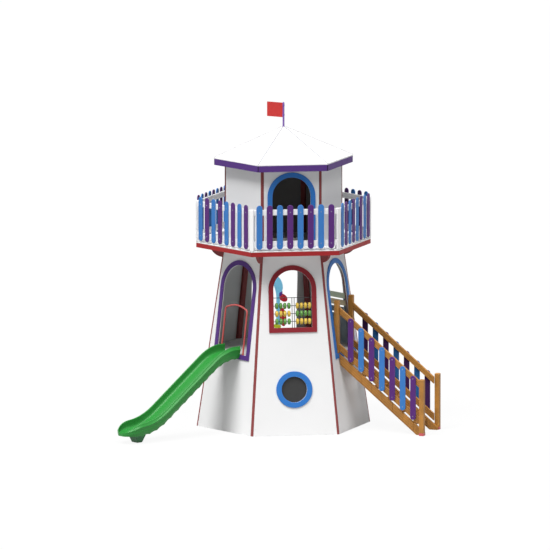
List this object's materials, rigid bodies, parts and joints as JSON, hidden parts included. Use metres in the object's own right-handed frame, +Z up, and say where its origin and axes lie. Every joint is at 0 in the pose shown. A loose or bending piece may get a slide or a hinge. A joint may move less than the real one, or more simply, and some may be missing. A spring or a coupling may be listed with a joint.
{
  "type": "hexagonal playground tower with slide",
  "caption": "Hexagonal lighthouse-shaped play tower with arched openings, railed gallery, pyramid-roofed cabin, moulded slide and timber stair.",
  "frame": {"origin": "middle of the footprint's bounding box, on the ground", "axes": "+Z up, the front wall with the window and the porthole faces -Y, the slide runs out to -X and the stair to +X"},
  "size_m": [5.5616, 3.1734, 5.41],
  "materials": {
    "white_board": "white laminated board",
    "burgundy_paint": "burgundy painted timber",
    "red_board": "red laminated board",
    "blue_board": "blue laminated board",
    "purple_board": "purple laminated board",
    "dark_sheet": "dark tinted sheet",
    "floor_board": "sealed floor boards",
    "olive_board": "olive painted boards",
    "flag_red": "red sheet",
    "slide_green": "green rotationally moulded plastic",
    "hoop_red": "red powder-coated tube",
    "stair_wood": "brown stained pine",
    "bead_rods": "plastic beads on steel rods",
    "sky_blue": "sky blue moulded plastic"
  },
  "bodies": {
    "root": {"front_wall": "white_board", "front_right_wall": "white_board", "back_right_wall": "white_board", "back_wall": "white_board", "back_left_wall": "white_board", "front_left_wall": "white_board", "corner_post_1": "burgundy_paint", "corner_post_2": "burgundy_paint", "corner_post_3": "burgundy_paint", "corner_post_4": "burgundy_paint", "corner_post_5": "burgundy_paint", "corner_post_6": "burgundy_paint", "platform_floor": "floor_board", "slide_arch_trim": "purple_board", "stair_arch_trim": "blue_board", "back_arch_trim": "red_board", "guard_arch_trim": "purple_board", "window_trim": "red_board", "porthole_ring": "blue_board", "porthole_sheet": "dark_sheet", "back_right_guard": "olive_board", "abacus": "bead_rods", "pod_climber": "sky_blue", "deck_floor": "white_board", "deck_fascia": "red_board", "front_railing": "blue_board", "front_right_railing": "blue_board", "back_right_railing": "blue_board", "back_railing": "blue_board", "back_left_railing": "blue_board", "front_left_railing": "blue_board", "front_cabin_wall": "white_board", "front_right_cabin_wall": "white_board", "back_right_cabin_wall": "white_board", "back_cabin_wall": "white_board", "back_left_cabin_wall": "white_board", "front_left_cabin_wall": "white_board", "cabin_frame": "burgundy_paint", "door_trim": "blue_board", "roof": "white_board", "roof_fascia": "purple_board", "flag_pole": "purple_board", "flag": "flag_red", "slide": "slide_green", "slide_hoop": "hoop_red", "left_stringer": "stair_wood", "right_stringer": "stair_wood", "left_banister": "stair_wood", "right_banister": "stair_wood", "tread_1": "stair_wood", "tread_2": "stair_wood", "tread_3": "stair_wood", "tread_4": "stair_wood", "tread_5": "stair_wood", "tread_6": "stair_wood"}
  },
  "joints": []
}
